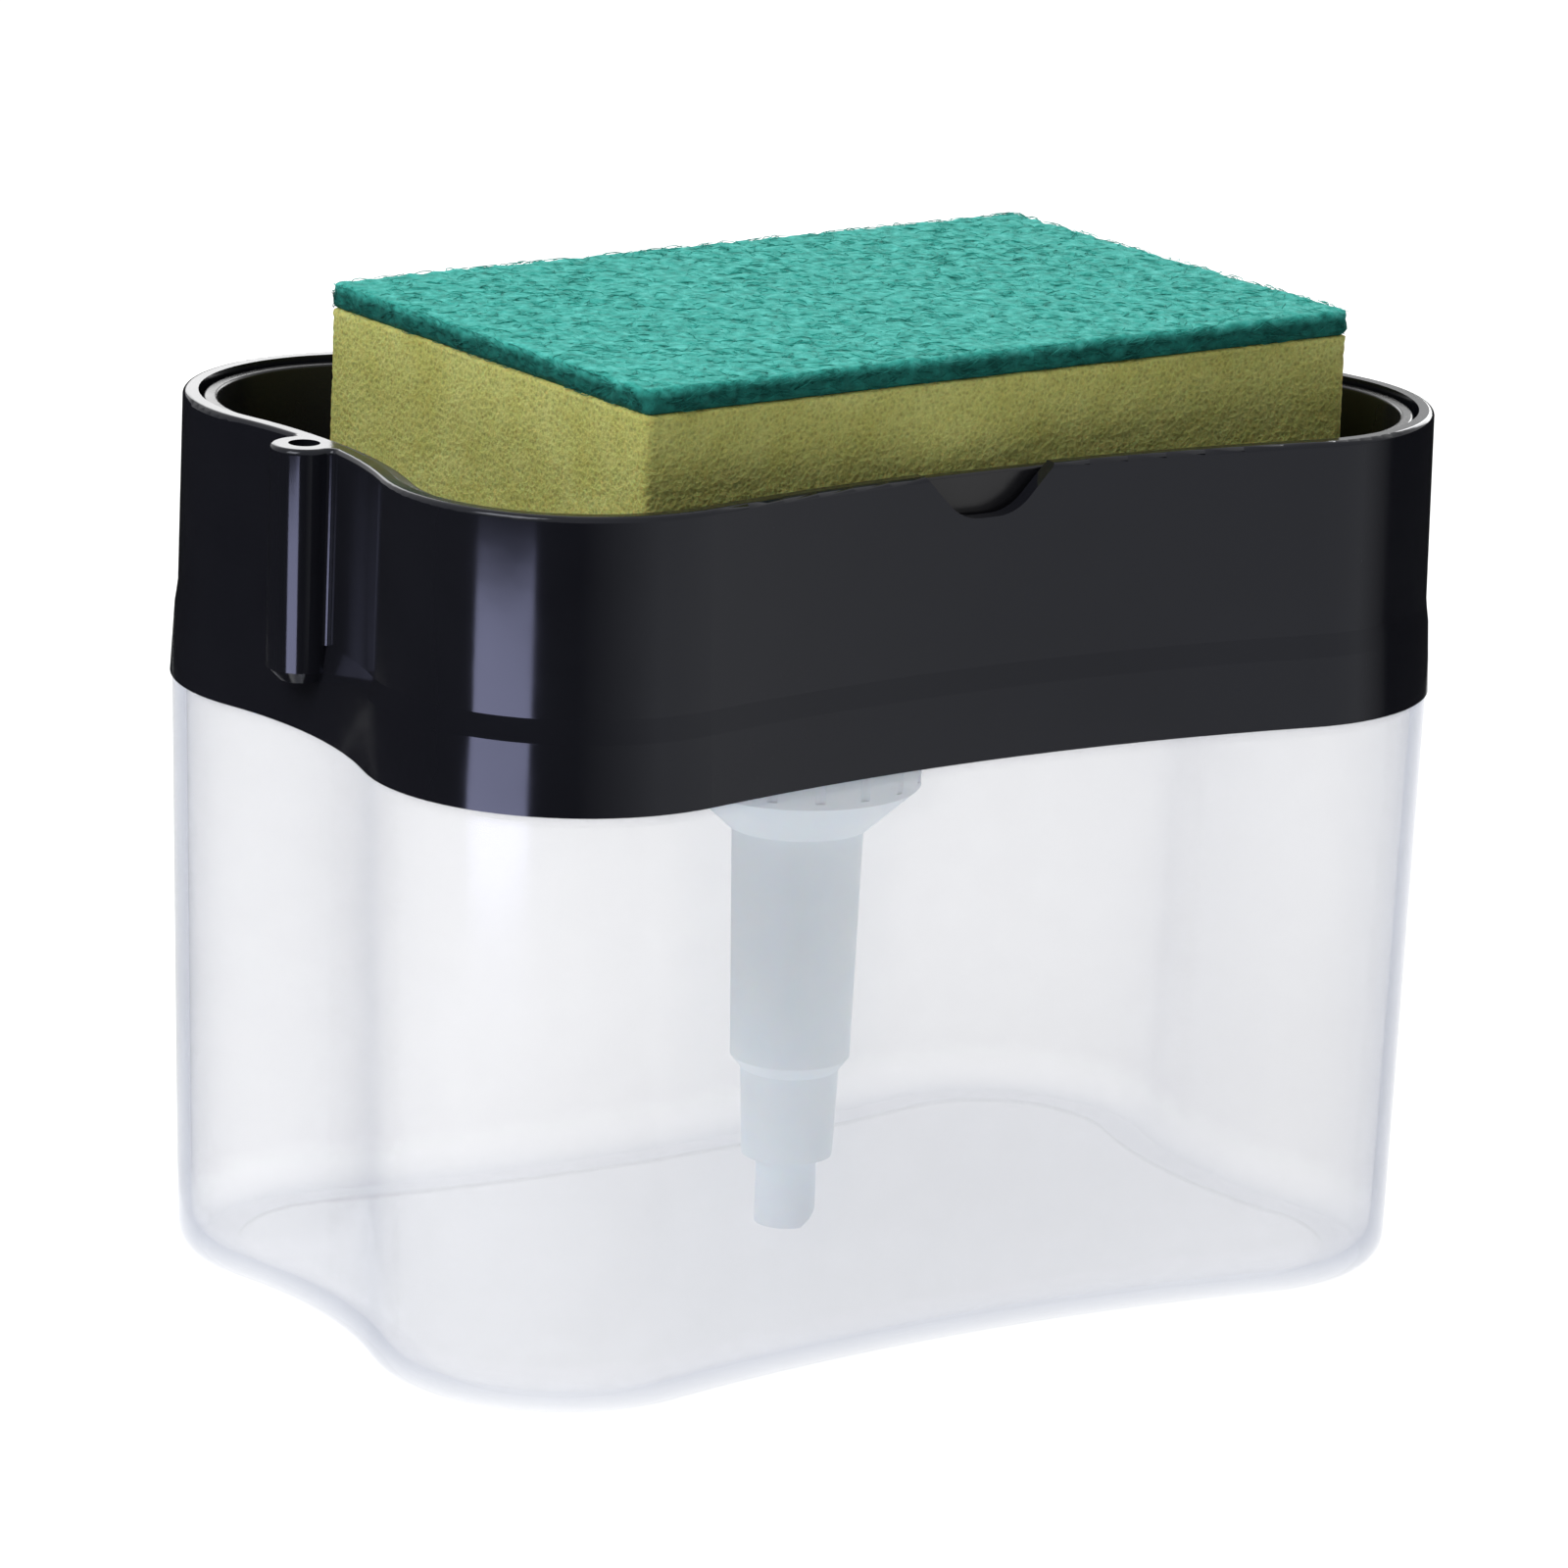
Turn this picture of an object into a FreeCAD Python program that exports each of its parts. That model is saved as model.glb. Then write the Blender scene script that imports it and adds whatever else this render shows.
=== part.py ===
import FreeCAD, Part
import math
import os

# Soap pump caddy for the sink: a translucent soap reservoir, a black collar that caps it, and a sponge tray
# that stands on the stem of a hand pump. Pressing the sponge down pushes the tray and works the pump, which
# lifts soap through the stem and the outlet in the middle of the tray into the sponge.
# Millimetres, +Z up. The origin is the middle of the base, X runs along the long side, and -Y is the front.

# Plan outline of the whole caddy: a rounded rectangle drawn in at the waist of all four sides.
# Every wall is this outline moved out (positive) or in (negative) by an offset.
body_length = 150.0
body_width = 100.0
corner_radius = 25.0
long_waist = 4.75
short_waist = 3.5

# Reservoir
tank_wall = 1.8
tank_floor = 1.6
tank_taper = 1.7
tank_reveal = 0.3
base_fillet = 3.0
foot_recess = 0.6
foot_width = 5.0
lip_thickness = 1.6
lip_height = 5.2
lip_root = 1.6
lip_root_rise = 1.2
shoulder_round = 0.5

# Collar
collar_height = 37.0
collar_wall = 2.0
wall_lean = 0.3
skirt_height = 12.0
skirt_wall = 1.8
skirt_flare = 1.2
skirt_step = 0.4
skirt_ease = 3.0
shoulder_gap = 0.2
lip_clearance = 0.2
plug_clearance = 0.3
plug_wall = 1.8
deck_thickness = 2.0
dish_depth = 4.0
rim_round = 0.7
notch_width = 19.4
notch_depth = 6.0
notch_floor = 8.0
notch_corner = 6.5
notch_shift = -2.5

# Socket tube that stands in the waist of the collar's left end
socket_radius = 4.4
socket_bore = 2.0
socket_standoff = 1.6
socket_shift = 2.5
socket_length = 28.5
socket_depth = 24.0
socket_foot = 1.6
socket_blend = 0.8

# Sponge tray
tray_gap = 0.6
tray_drop = 0.8
tray_wall = 1.8
tray_floor = 2.0
tray_lean = 0.3
tray_fillet = 3.0
tray_edge = 1.2
tray_rim_round = 0.4
bottom_gap = 0.5
support_height = 1.0
support_width = 1.8
support_pitch = 11.2
support_count = 4
support_inset = 6.0
support_start = 19.0
spine_height = 3.5
spine_width = 1.8
spine_inset = 4.0
stem_socket_wall = 2.4
stem_socket_length = 9.0
outlet_boss_wall = 3.0

# Soap outlet in the middle of the tray
outlet_radius = 6.0
outlet_thickness = 1.5
outlet_hole = 0.8
outlet_ring = 3.2
outlet_ring_count = 5
outlet_recess = 0.2
plenum_height = 0.5

# Pump
stroke = 11.5
stem_radius = 3.5
stem_bore = 2.0
stem_inset = 1.0
stop_width = 2.0
stop_height = 2.0
stop_gap = 0.3
guide_plug = 3.7
guide_flange = 2.0
guide_tube = 7.0
guide_wall = 2.0
cylinder_bore = 7.0
cylinder_wall = 1.8
cylinder_taper = 0.9
cylinder_chamfer = 1.8
flange_width = 4.0
flange_height = 1.8
gasket_height = 1.0
gasket_width = 2.1
neck_length = 12.2
neck_width = 2.4
nut_wall = 2.7
nut_grip = 10.0
nut_cone = 6.0
nut_lip = 0.5
nut_flute = 0.8
nut_flute_count = 16
piston_length = 6.6
piston_lip = 1.4
piston_waist = 0.8
piston_shift = 1.2
shank_radius = 2.6
shank_channel = 1.1
spigot_length = 7.0
port_radius = 0.8
head_height = 2.0
post_length = 3.5
spring_wire = 1.0
spring_turns = 5
coil_steps = 2
gap_steps = 24
spring_spare = 3.8
spring_clearance = 0.6
ball_radius = 2.5
ball_clearance = 0.9
ball_room = 1.6
seat_bore = 1.6
seat_height = 2.5
seat_land = 2.0
cage_lip = 0.8
cage_reach = 0.5
cage_slots = 4
spring_ledge = 2.0
tube_radius = 4.0
tube_wall = 1.0
tube_seat = 6.4
tube_exposed = 9.5
tube_floor_gap = 0.8
tube_bevel = 3.0
valve_wall = 2.0
valve_taper = 0.5

# Clearances
sliding_fit = 0.1
piston_fit = 0.05
press_fit = 0.02
thread_fit = 0.15
seat_gap = 0.1
overrun = 1.0
match_tolerance = 0.0001

# Sponge
foam_height = 24.3
pad_height = 4.0
sponge_end_room = 13.2
sponge_side_room = 4.35
sponge_corner = 3.0
sponge_turn = 2.8
sponge_end_shift = 3.3
sponge_side_shift = -1.0

UP = FreeCAD.Vector(0, 0, 1)
ORIGIN = FreeCAD.Vector(0, 0, 0)
FULL_TURN = 360.0

# Wall offsets, from the outside in
skirt_bottom_offset = skirt_flare
skirt_edge_offset = wall_lean + skirt_step
tank_top_offset = skirt_flare - tank_reveal
tank_base_offset = tank_top_offset - tank_taper
skirt_inner_offset = skirt_flare - skirt_wall
lip_outer_offset = skirt_inner_offset - lip_clearance
lip_inner_offset = lip_outer_offset - lip_thickness
plug_outer_offset = lip_inner_offset - plug_clearance
plug_inner_offset = plug_outer_offset - plug_wall
well_offset = -collar_wall
tray_rim_offset = well_offset - tray_gap
tray_foot_offset = tray_rim_offset - tray_lean

# Radii of the pump, from the stem out
guide_bore = stem_radius + sliding_fit
guide_radius = guide_bore + guide_wall
cylinder_radius = cylinder_bore + cylinder_wall
cylinder_foot_radius = cylinder_radius - cylinder_taper
flange_radius = cylinder_radius + flange_width
neck_bore = flange_radius - gasket_width
neck_radius = neck_bore + neck_width
nut_bore = neck_radius + thread_fit
nut_radius = nut_bore + nut_wall
spring_radius = cylinder_bore - spring_clearance - spring_wire / 2
stem_socket_radius = stem_radius + sliding_fit + stem_socket_wall
outlet_boss_radius = outlet_radius + press_fit + outlet_boss_wall
valve_foot_radius = tube_radius + valve_wall
valve_radius = valve_foot_radius + valve_taper
chamber_radius = ball_radius + ball_clearance

# Heights, stacked from the base up: the pump's length sets the height of the reservoir
floor_z = foot_recess + tank_floor
tube_foot_z = floor_z + tube_floor_gap
valve_foot_z = tube_foot_z + tube_exposed
tube_top_z = valve_foot_z + tube_seat
seat_z = tube_top_z + seat_land
seat_top_z = seat_z + seat_height
seat_slope = math.atan2(chamber_radius - seat_bore, seat_height)
ball_z = (seat_z + (ball_radius * math.cos(seat_slope) - seat_bore) / math.tan(seat_slope)
          + ball_radius * math.sin(seat_slope) + seat_gap / math.sin(seat_slope))
cage_z = ball_z + ball_radius + ball_room + seat_gap
ledge_z = cage_z + cage_lip
spring_height = stroke + spring_wire * (spring_turns + 1) + spring_spare
head_z = ledge_z + spring_height
piston_z = head_z + head_height + seat_gap
stem_foot_z = piston_z + piston_length + piston_shift + seat_gap
guide_foot_z = stem_foot_z + stop_height + stop_gap
flange_top_z = guide_foot_z + guide_plug
flange_z = flange_top_z - flange_height
neck_z = flange_top_z + gasket_height
deck_z = neck_z + neck_length
deck_top_z = deck_z + deck_thickness
lip_top_z = deck_z + dish_depth
well_z = lip_top_z + deck_thickness
shoulder_z = lip_top_z - lip_height
collar_z = shoulder_z + shoulder_gap
skirt_top_z = collar_z + skirt_height
skirt_edge_z = skirt_top_z - skirt_ease
rim_z = collar_z + collar_height
tray_z = well_z + stroke + bottom_gap
tray_top_z = tray_z + tray_floor
tray_rim_z = rim_z - tray_drop
sponge_z = tray_top_z + support_height
pad_z = sponge_z + foam_height
stem_top_z = tray_z - stem_inset
socket_z = rim_z - socket_length


def outline(offset, z):
    """Closed wire of eight tangent arcs: four convex corners and four shallow waists."""
    corner_x = body_length / 2 - corner_radius
    corner_y = body_width / 2 - corner_radius
    long_reach = (corner_x ** 2 + long_waist ** 2) / (2 * long_waist)
    short_reach = (corner_y ** 2 + short_waist ** 2) / (2 * short_waist)
    long_angle = math.asin(corner_x / long_reach)
    short_angle = math.asin(corner_y / short_reach)
    radius = corner_radius + offset
    first = short_angle * -1
    last = math.pi / 2 + long_angle
    middle = (first + last) / 2

    def corner(x_side, y_side, angle):
        x = corner_x + radius * math.cos(angle)
        y = corner_y + radius * math.sin(angle)
        return FreeCAD.Vector(x_side * x, y_side * y, z)

    right = FreeCAD.Vector(body_length / 2 - short_waist + offset, 0, z)
    back = FreeCAD.Vector(0, body_width / 2 - long_waist + offset, z)
    left = FreeCAD.Vector(-right.x, 0, z)
    front = FreeCAD.Vector(0, -back.y, z)
    arcs = [
        (corner(1, 1, first), corner(1, 1, middle), corner(1, 1, last)),
        (corner(1, 1, last), back, corner(-1, 1, last)),
        (corner(-1, 1, last), corner(-1, 1, middle), corner(-1, 1, first)),
        (corner(-1, 1, first), left, corner(-1, -1, first)),
        (corner(-1, -1, first), corner(-1, -1, middle), corner(-1, -1, last)),
        (corner(-1, -1, last), front, corner(1, -1, last)),
        (corner(1, -1, last), corner(1, -1, middle), corner(1, -1, first)),
        (corner(1, -1, first), right, corner(1, 1, first)),
    ]
    return Part.Wire([Part.Arc(*points).toShape() for points in arcs])


def wall_block(lower_offset, lower_z, upper_offset, upper_z):
    """Solid between the outline at two heights, drafted when the two offsets differ."""
    if lower_offset == upper_offset:
        face = Part.Face(outline(lower_offset, lower_z))
        return face.extrude(UP * (upper_z - lower_z))
    return Part.makeLoft([outline(lower_offset, lower_z), outline(upper_offset, upper_z)], True, True)


def cylinder(radius, low_z, high_z, x=0.0, y=0.0):
    return Part.makeCylinder(radius, high_z - low_z, FreeCAD.Vector(x, y, low_z))


def turned(profile):
    """Solid of revolution about the pump's axis from a closed list of (radius, height) points."""
    points = [FreeCAD.Vector(radius, 0, z) for radius, z in profile]
    face = Part.Face(Part.makePolygon(points + points[:1]))
    return face.revolve(ORIGIN, UP, FULL_TURN)


def block(x_size, y_size, low_z, high_z, x=0.0, y=0.0):
    """Box centred on (x, y)."""
    corner = FreeCAD.Vector(x - x_size / 2, y - y_size / 2, low_z)
    return Part.makeBox(x_size, y_size, high_z - low_z, corner)


def ring_of(tool, count):
    """Copies of a solid spread evenly round the pump's axis."""
    copies = []
    for index in range(count):
        copy = tool.copy()
        copy.rotate(ORIGIN, UP, FULL_TURN * index / count)
        copies.append(copy)
    return copies


def level_edges(shape, z):
    """Edges that lie wholly at one height."""
    return [e for e in shape.Edges
            if abs(e.BoundBox.ZMin - z) < match_tolerance and abs(e.BoundBox.ZMax - z) < match_tolerance]


def reservoir_tank():
    outer = wall_block(tank_base_offset, 0, tank_top_offset, shoulder_z)
    outer = outer.makeFillet(base_fillet, level_edges(outer, 0))
    outer = outer.makeFillet(shoulder_round, level_edges(outer, shoulder_z))
    lip = wall_block(lip_outer_offset, shoulder_z, lip_outer_offset, lip_top_z)
    lean = tank_taper / shoulder_z
    cavity_top_z = shoulder_z - lip_root
    cavity_foot_offset = tank_base_offset + lean * floor_z - tank_wall
    cavity_top_offset = tank_base_offset + lean * cavity_top_z - tank_wall
    cavity = wall_block(cavity_foot_offset, floor_z, cavity_top_offset, cavity_top_z)
    cavity = cavity.makeFillet(base_fillet, level_edges(cavity, floor_z))
    root_z = cavity_top_z + lip_root_rise
    root = wall_block(cavity_top_offset, cavity_top_z, lip_inner_offset, root_z)
    mouth = wall_block(lip_inner_offset, root_z, lip_inner_offset, lip_top_z + overrun)
    recess_offset = tank_base_offset - base_fillet - foot_width
    recess = wall_block(recess_offset, -overrun, recess_offset, foot_recess)
    return outer.fuse(lip).cut(cavity.fuse([root, mouth])).cut(recess).removeSplitter()


def finger_notch():
    """Scoop out of the front rim: a short flat floor that runs up into sloping sides in two wide curves."""
    y = -body_width / 2
    low_z = rim_z - notch_depth
    side_run = (notch_width - notch_floor) / 2
    points = [
        FreeCAD.Vector(notch_shift - notch_width / 2 - side_run, y, rim_z + notch_depth),
        FreeCAD.Vector(notch_shift - notch_floor / 2, y, low_z),
        FreeCAD.Vector(notch_shift + notch_floor / 2, y, low_z),
        FreeCAD.Vector(notch_shift + notch_width / 2 + side_run, y, rim_z + notch_depth),
    ]
    tool = Part.Face(Part.makePolygon(points + points[:1])).extrude(FreeCAD.Vector(0, body_width / 2, 0))
    floor_edges = [e for e in tool.Edges if e.BoundBox.ZMax < rim_z and e.BoundBox.XLength < match_tolerance]
    return tool.makeFillet(notch_corner, floor_edges)


def socket_tube():
    """Round tube that stands against the waist of the left end, open at the rim."""
    x = -(body_length / 2 - short_waist + socket_standoff)
    tube = cylinder(socket_radius, socket_z, rim_z, x, socket_shift)
    foot = Part.makeCone(socket_radius - socket_foot, socket_radius, socket_foot,
                         FreeCAD.Vector(x, socket_shift, socket_z - socket_foot))
    bore = cylinder(socket_bore, rim_z - socket_depth, rim_z + overrun, x, socket_shift)
    return tube.fuse(foot), bore


def upper_wall():
    """Wall above the skirt, with the tube in its waist and the two hollows beside the tube rounded."""
    x = -(body_length / 2 - short_waist + socket_standoff)
    low_z = max(skirt_top_z, socket_z)
    wall = wall_block(wall_lean, skirt_top_z, 0, rim_z)
    wall = wall.fuse(cylinder(socket_radius, low_z, rim_z, x, socket_shift)).removeSplitter()
    hollows = []
    for edge in wall.Edges:
        middle = edge.CenterOfMass
        reach = math.hypot(middle.x - x, middle.y - socket_shift)
        if edge.BoundBox.ZLength > (rim_z - low_z) / 2 and reach < socket_radius + match_tolerance:
            hollows.append(edge)
    return wall.makeFillet(socket_blend, hollows)


def collar_shell():
    skirt = wall_block(skirt_bottom_offset, collar_z, skirt_edge_offset, skirt_edge_z)
    ease = wall_block(skirt_edge_offset, skirt_edge_z, wall_lean, skirt_top_z)
    tube, bore = socket_tube()
    shell = skirt.fuse([ease, upper_wall(), tube]).removeSplitter()
    shell = shell.makeFillet(rim_round, level_edges(shell, rim_z))
    well = wall_block(well_offset, well_z, well_offset, rim_z + overrun)
    dish = wall_block(plug_inner_offset, deck_top_z, plug_inner_offset, well_z + overrun)
    skirt_room = wall_block(skirt_inner_offset, collar_z - overrun, skirt_inner_offset, lip_top_z)
    plug = wall_block(plug_outer_offset, deck_z, plug_outer_offset, lip_top_z)
    shell = shell.cut(skirt_room.cut(plug)).cut([well, dish])
    neck = cylinder(neck_radius, neck_z, deck_z)
    neck_hole = cylinder(neck_bore, neck_z - overrun, deck_top_z + overrun)
    return shell.fuse(neck).cut([neck_hole, bore, finger_notch()]).removeSplitter()


def support_ribs():
    """Low ribs across the tray floor in two groups beside the outlet: they hold the sponge clear of drips."""
    ribs = []
    for side in (-1, 1):
        for index in range(support_count):
            x = side * (support_start + index * support_pitch)
            ribs.append(block(support_width, body_width, tray_top_z, sponge_z, x))
    bound = wall_block(tray_foot_offset - tray_wall - support_inset, tray_top_z,
                       tray_foot_offset - tray_wall - support_inset, sponge_z)
    return [rib.common(bound) for rib in ribs]


def sponge_tray():
    shell = wall_block(tray_foot_offset, tray_z, tray_rim_offset, tray_rim_z)
    shell = shell.makeFillet(tray_edge, level_edges(shell, tray_z))
    pan = wall_block(tray_foot_offset - tray_wall, tray_top_z, tray_rim_offset - tray_wall, tray_rim_z)
    pan = pan.makeFillet(tray_fillet, level_edges(pan, tray_top_z))
    shell = shell.cut(pan)
    shell = shell.makeFillet(tray_rim_round, level_edges(shell, tray_rim_z))
    length = body_length - 2 * (short_waist + collar_wall + tray_gap + tray_wall + spine_inset)
    width = body_width - 2 * (long_waist + collar_wall + tray_gap + tray_wall + spine_inset)
    spines = [
        block(length, spine_width, tray_z - spine_height, tray_z),
        block(spine_width, width, tray_z - spine_height, tray_z),
    ]
    boss = cylinder(outlet_boss_radius, tray_top_z, sponge_z)
    socket = cylinder(stem_socket_radius, tray_z - stem_socket_length, tray_z)
    shell = shell.fuse(support_ribs() + spines + [boss, socket])
    pocket_z = sponge_z - outlet_recess - outlet_thickness
    pocket = cylinder(outlet_radius + press_fit, pocket_z, sponge_z + overrun)
    plenum = cylinder(outlet_ring + 2 * outlet_hole, pocket_z - plenum_height, pocket_z)
    feed = cylinder(stem_bore, tray_z - stem_inset, sponge_z)
    bore = cylinder(stem_radius + sliding_fit, tray_z - stem_socket_length - overrun, stem_top_z + seat_gap)
    return shell.cut([pocket, plenum, feed, bore]).removeSplitter()


def outlet_cap():
    """Drilled disc that spreads the soap under the sponge."""
    low_z = sponge_z - outlet_recess - outlet_thickness
    disc = cylinder(outlet_radius, low_z, low_z + outlet_thickness)
    disc = disc.makeChamfer(outlet_recess, level_edges(disc, low_z + outlet_thickness))
    hole = cylinder(outlet_hole, low_z - overrun, low_z + outlet_thickness + overrun, outlet_ring)
    middle = cylinder(outlet_hole, low_z - overrun, low_z + outlet_thickness + overrun)
    return disc.cut(ring_of(hole, outlet_ring_count) + [middle])


def pump_stem():
    stop_radius = stem_radius + stop_width
    return turned([
        (stem_bore, stem_foot_z),
        (stop_radius, stem_foot_z),
        (stop_radius, stem_foot_z + stop_height),
        (stem_radius, stem_foot_z + stop_height),
        (stem_radius, stem_top_z),
        (stem_bore, stem_top_z),
    ])


def stem_guide():
    """Snap-in guide at the top of the cylinder: it leads the stem and stops it coming out."""
    plug_radius = cylinder_bore - press_fit
    flange = neck_bore - 2 * thread_fit
    return turned([
        (guide_bore, guide_foot_z),
        (plug_radius, guide_foot_z),
        (plug_radius, flange_top_z),
        (flange, flange_top_z),
        (flange, flange_top_z + guide_flange),
        (guide_radius, flange_top_z + guide_flange),
        (guide_radius, flange_top_z + guide_flange + guide_tube),
        (guide_bore, flange_top_z + guide_flange + guide_tube),
    ])


def pump_housing():
    """Stepped cylinder with its flange, spring ledge, ball cage, valve seat and tube socket."""
    cage_radius = ball_radius - cage_reach
    tube_socket = tube_radius + press_fit
    step_z = ledge_z - spring_ledge
    shell = turned([
        (tube_socket, valve_foot_z),
        (valve_foot_radius, valve_foot_z),
        (valve_radius, step_z - cylinder_chamfer),
        (cylinder_foot_radius, step_z),
        (cylinder_radius, flange_z),
        (flange_radius, flange_z),
        (flange_radius, flange_top_z),
        (cylinder_bore, flange_top_z),
        (cylinder_bore, ledge_z),
        (cage_radius, ledge_z),
        (cage_radius, cage_z),
        (chamber_radius, cage_z),
        (chamber_radius, seat_top_z),
        (seat_bore, seat_z),
        (seat_bore, tube_top_z),
        (tube_socket, tube_top_z),
    ])
    slot = block(chamber_radius, cage_radius, cage_z, ledge_z + overrun, chamber_radius / 2)
    return shell.cut(ring_of(slot, cage_slots))


def flange_gasket():
    return turned([
        (neck_bore, flange_top_z),
        (flange_radius, flange_top_z),
        (flange_radius, neck_z),
        (neck_bore, neck_z),
    ])


def lock_nut():
    """Screw ring that clamps the cylinder's flange up against the collar's neck."""
    throat = cylinder_radius + thread_fit
    top_z = neck_z + nut_grip
    nut = turned([
        (throat, flange_z - nut_cone),
        (throat + nut_lip, flange_z - nut_cone),
        (nut_radius, flange_z),
        (nut_radius, top_z),
        (nut_bore, top_z),
        (nut_bore, flange_z),
        (throat, flange_z),
    ])
    flute = cylinder(nut_flute, flange_z + nut_flute, top_z + overrun, nut_radius + nut_flute / 2)
    return nut.cut(ring_of(flute, nut_flute_count))


def piston():
    """Sliding seal with two lips against the cylinder."""
    lip_radius = cylinder_bore - piston_fit
    bore = shank_radius + sliding_fit
    top_z = piston_z + piston_length
    return turned([
        (bore, piston_z),
        (lip_radius, piston_z),
        (lip_radius, piston_z + piston_lip),
        (lip_radius - piston_waist, piston_z + piston_lip + piston_waist),
        (lip_radius - piston_waist, top_z - piston_lip - piston_waist),
        (lip_radius, top_z - piston_lip),
        (lip_radius, top_z),
        (bore, top_z),
    ])


def piston_core():
    """Lower end of the stem: it carries the piston, seats the spring and lets soap in through its ports."""
    spigot_radius = stem_bore - press_fit
    head_radius = spring_radius + spring_wire / 2
    post_radius = spring_radius - spring_wire / 2 - sliding_fit - seat_gap
    top_z = stem_foot_z + spigot_length
    channel_z = head_z + head_height
    core = turned([
        (0, head_z - post_length),
        (post_radius - seat_gap, head_z - post_length),
        (post_radius, head_z),
        (head_radius, head_z),
        (head_radius, head_z + head_height),
        (shank_radius, head_z + head_height),
        (shank_radius, stem_foot_z),
        (spigot_radius, stem_foot_z),
        (spigot_radius, top_z),
        (shank_channel, top_z),
        (shank_channel, channel_z),
        (0, channel_z),
    ])
    port = Part.makeCylinder(port_radius, 2 * shank_radius + 2 * overrun,
                             FreeCAD.Vector(-shank_radius - overrun, 0, channel_z + port_radius + seat_gap),
                             FreeCAD.Vector(1, 0, 0))
    cross = port.copy()
    cross.rotate(ORIGIN, UP, FULL_TURN / 4)
    return core.cut([port, cross])


def arc_from(start, corner, end):
    """Circular arc from start to end, tangent at both ends to the lines through the corner point."""
    middle = (start + end) / 2
    half_chord = (end - start).Length / 2
    rise = (corner - middle).Length
    sagitta = half_chord * math.tan(math.atan2(rise, half_chord) / 2)
    return Part.Arc(start, middle + (corner - middle) * (sagitta / rise), end).toShape()


def tangent_pair(start, start_way, end, end_way):
    """Two arcs that join two points and are tangent to a given unit direction at each."""
    span = end - start
    along = span.dot(start_way + end_way)
    spread = 2 * (1 - start_way.dot(end_way))
    reach = (math.sqrt(along ** 2 + spread * span.dot(span)) - along) / spread
    first_corner = start + start_way * reach
    last_corner = end - end_way * reach
    middle = (first_corner + last_corner) / 2
    return [arc_from(start, first_corner, middle), arc_from(middle, last_corner, end)]


def coil_points(low_z, high_z, steps_per_turn):
    """Points of the spring's centre line, each with its unit direction."""
    points = []
    climb = (high_z - low_z) / spring_turns
    for step in range(spring_turns * steps_per_turn + 1):
        angle = 2 * math.pi * step / steps_per_turn
        x = spring_radius * math.cos(angle)
        y = spring_radius * math.sin(angle)
        way = FreeCAD.Vector(-y, x, climb / (2 * math.pi)).normalize()
        points.append((FreeCAD.Vector(x, y, low_z + climb * step / steps_per_turn), way))
    return points


def return_spring():
    """Round-wire compression spring between the ledge of the cylinder and the head of the core."""
    wire_radius = spring_wire / 2
    low_z = ledge_z + wire_radius + seat_gap
    high_z = head_z - wire_radius - seat_gap
    steps = coil_points(low_z, high_z, coil_steps)
    arcs = []
    for (start, start_way), (end, end_way) in zip(steps, steps[1:]):
        arcs += tangent_pair(start, start_way, end, end_way)
    start, way = steps[0]
    section = Part.Wire(Part.makeCircle(wire_radius, start, way))
    coil = Part.Wire(arcs).makePipeShell([section], True, False)
    dots = [point for point, _ in coil_points(low_z, high_z, gap_steps)]
    apart = [(a - b).Length for i, a in enumerate(dots) for b in dots[i + gap_steps // 2:]]
    print(f"spring's least gap to itself {min(apart) - spring_wire:.2f}")
    return coil


def suction_ball():
    return Part.makeSphere(ball_radius, FreeCAD.Vector(0, 0, ball_z))


def dip_tube():
    """Straight tube from the valve to just off the floor, cut on the slant so that it can't seal there."""
    tube = cylinder(tube_radius, tube_foot_z, tube_top_z)
    tube = tube.cut(cylinder(tube_radius - tube_wall, tube_foot_z - overrun, tube_top_z + overrun))
    points = [
        FreeCAD.Vector(0, -tube_radius, tube_foot_z - overrun),
        FreeCAD.Vector(tube_radius + overrun, -tube_radius, tube_foot_z - overrun),
        FreeCAD.Vector(tube_radius + overrun, -tube_radius, tube_foot_z + tube_bevel),
        FreeCAD.Vector(0, -tube_radius, tube_foot_z),
    ]
    wedge = Part.Face(Part.makePolygon(points + points[:1])).extrude(FreeCAD.Vector(0, 2 * tube_radius, 0))
    return tube.cut(wedge)


def sponge_slab(low_z, high_z):
    length = body_length - 2 * (short_waist + collar_wall + tray_gap + tray_wall + sponge_end_room)
    width = body_width - 2 * (long_waist + collar_wall + tray_gap + tray_wall + sponge_side_room)
    slab = block(length, width, low_z, high_z)
    upright = [e for e in slab.Edges if e.BoundBox.ZLength > (high_z - low_z) / 2]
    slab = slab.makeFillet(sponge_corner, upright)
    slab.rotate(ORIGIN, UP, sponge_turn)
    slab.translate(FreeCAD.Vector(sponge_end_shift, sponge_side_shift, 0))
    return slab


def foam_block():
    return sponge_slab(sponge_z, pad_z)


def scouring_pad():
    return sponge_slab(pad_z, pad_z + pad_height)


def main():
    os.makedirs("parts", exist_ok=True)
    makers = [
        reservoir_tank, collar_shell, sponge_tray, outlet_cap, pump_stem, stem_guide, pump_housing,
        flange_gasket, lock_nut, piston, piston_core, return_spring, suction_ball, dip_tube,
        foam_block, scouring_pad,
    ]
    for maker in makers:
        shape = maker()
        print(maker.__name__, len(shape.Solids), "solid, valid", shape.isValid(), round(shape.Volume), "mm3")
        shape.exportStep(f"parts/{maker.__name__}.step")
    print("rim", round(rim_z, 2), "sponge top", round(pad_z + pad_height, 2))


main()
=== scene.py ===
import math
import random

import bmesh
import bpy
from mathutils import Matrix, Vector, noise


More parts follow.
